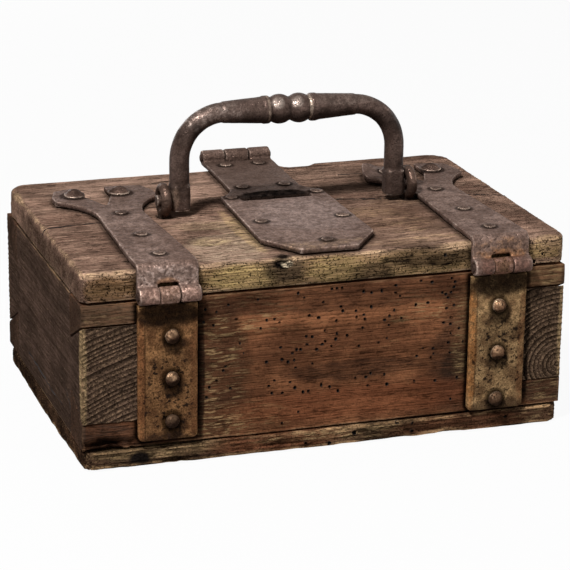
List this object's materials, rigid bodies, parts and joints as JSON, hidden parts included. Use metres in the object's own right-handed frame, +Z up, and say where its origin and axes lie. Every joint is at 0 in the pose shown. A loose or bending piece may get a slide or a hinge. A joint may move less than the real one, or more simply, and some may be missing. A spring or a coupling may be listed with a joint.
{
  "type": "offering box",
  "caption": "Dovetailed wooden offering box bound in wrought iron, with a strap-hinged lid, a coin slot in a shield plate, a bail handle and a hasp for a padlock.",
  "frame": {"origin": "middle of the base board's underside, on the line midway between the two long walls", "axes": "+X along the length to the right as seen from the hinge side, -Y towards the hinge side, +Z up"},
  "size_m": [0.29, 0.2289, 0.1849],
  "materials": {
    "wood_base": "worn, dark brown, unvarnished",
    "wood_wall": "worn red-brown softwood with worm holes",
    "wood_lid": "weathered grey-brown, ochre where rubbed",
    "iron_strap": "hammered wrought iron, waxed purple-brown",
    "iron_plate": "wrought iron with an ochre rust patina",
    "iron_dark": "dark wrought iron with a soft sheen"
  },
  "bodies": {
    "box": {"base_board": "wood_base", "base_nails": "iron_dark", "left_end_board": "wood_wall", "right_end_board": "wood_wall", "hinge_side_board": "wood_wall", "hasp_side_board": "wood_wall", "left_hinge_plate": "iron_plate", "right_hinge_plate": "iron_plate", "left_plate_nails": "iron_dark", "right_plate_nails": "iron_dark", "hasp_eye": "iron_dark"},
    "lid": {"lid_board": "wood_lid", "left_hinge_strap": "iron_strap", "right_hinge_strap": "iron_strap", "left_hinge_pin": "iron_dark", "right_hinge_pin": "iron_dark", "slot_plate": "iron_strap", "hasp_pin": "iron_dark", "left_handle_eye": "iron_dark", "right_handle_eye": "iron_dark", "left_strap_nails": "iron_strap", "right_strap_nails": "iron_strap", "left_fishtail_nails": "iron_dark", "right_fishtail_nails": "iron_dark", "slot_plate_nails": "iron_strap"},
    "bail": {"handle": "iron_dark"},
    "hasp_leaf": {"hasp": "iron_strap"}
  },
  "joints": [
    {"name": "lid_hinge", "type": "hinge", "parent": "box", "child": "lid", "pos_m": [0, -0.1024, 0.1017], "axis": [1, 0, 0], "range_deg": [0, 175]},
    {"name": "handle_swing", "type": "hinge", "parent": "lid", "child": "bail", "pos_m": [0.0066, 0.002, 0.1251], "axis": [1, 0, 0], "range_deg": [-80, 80]},
    {"name": "hasp_swing", "type": "hinge", "parent": "lid", "child": "hasp_leaf", "pos_m": [0.0054, 0.1045, 0.1209], "axis": [1, 0, 0], "range_deg": [0, 160]}
  ]
}
